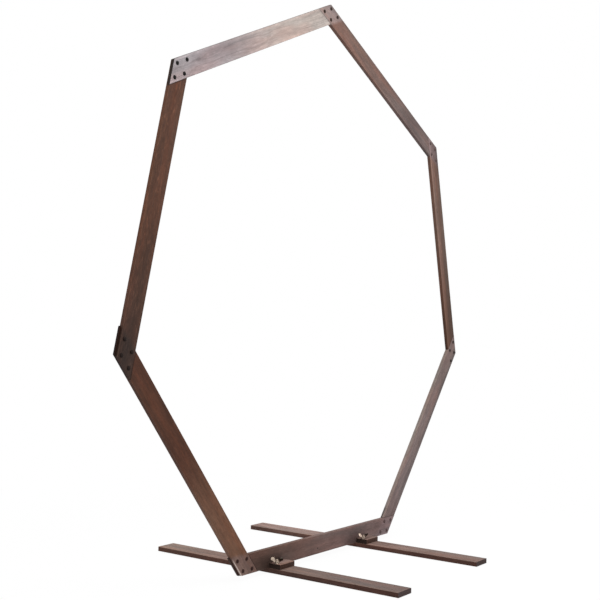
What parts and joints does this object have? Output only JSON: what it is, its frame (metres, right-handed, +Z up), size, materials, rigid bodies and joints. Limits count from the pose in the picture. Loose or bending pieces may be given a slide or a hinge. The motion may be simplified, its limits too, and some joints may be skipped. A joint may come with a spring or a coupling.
{
  "type": "heptagonal wooden wedding arch",
  "caption": "Free-standing open ring of straight stained boards, half-lapped and bolted at its corners, standing on edge across flat timber feet with cleat blocks.",
  "frame": {"origin": "on the ground, under the middle of the arch and midway between the feet and between their ends", "axes": "+X across the arch to its right seen from the front, +Y from the front to the back, +Z up"},
  "size_m": [2.2524, 1.11, 2.2086],
  "materials": {
    "ring_boards": "walnut stain, satin",
    "foot_boards": "walnut stain, satin",
    "black_bolts": "black, satin",
    "bright_metal": "zinc plated"
  },
  "bodies": {
    "root": {"bottom_board": "ring_boards", "lower_right_board": "ring_boards", "upper_right_board": "ring_boards", "top_right_board": "ring_boards", "top_left_board": "ring_boards", "upper_left_board": "ring_boards", "lower_left_board": "ring_boards", "bottom_left_corner_bolts": "black_bolts", "bottom_right_corner_bolts": "black_bolts", "right_lower_corner_bolts": "black_bolts", "right_upper_corner_bolts": "black_bolts", "top_corner_bolts": "black_bolts", "left_upper_corner_bolts": "black_bolts", "left_lower_corner_bolts": "black_bolts", "left_foot": "foot_boards", "left_front_block": "foot_boards", "left_front_wing_stud": "bright_metal", "left_rear_block": "foot_boards", "left_rear_wing_stud": "bright_metal", "right_foot": "foot_boards", "right_front_block": "foot_boards", "right_front_wing_stud": "bright_metal", "right_rear_block": "foot_boards", "right_rear_wing_stud": "bright_metal"}
  },
  "joints": []
}
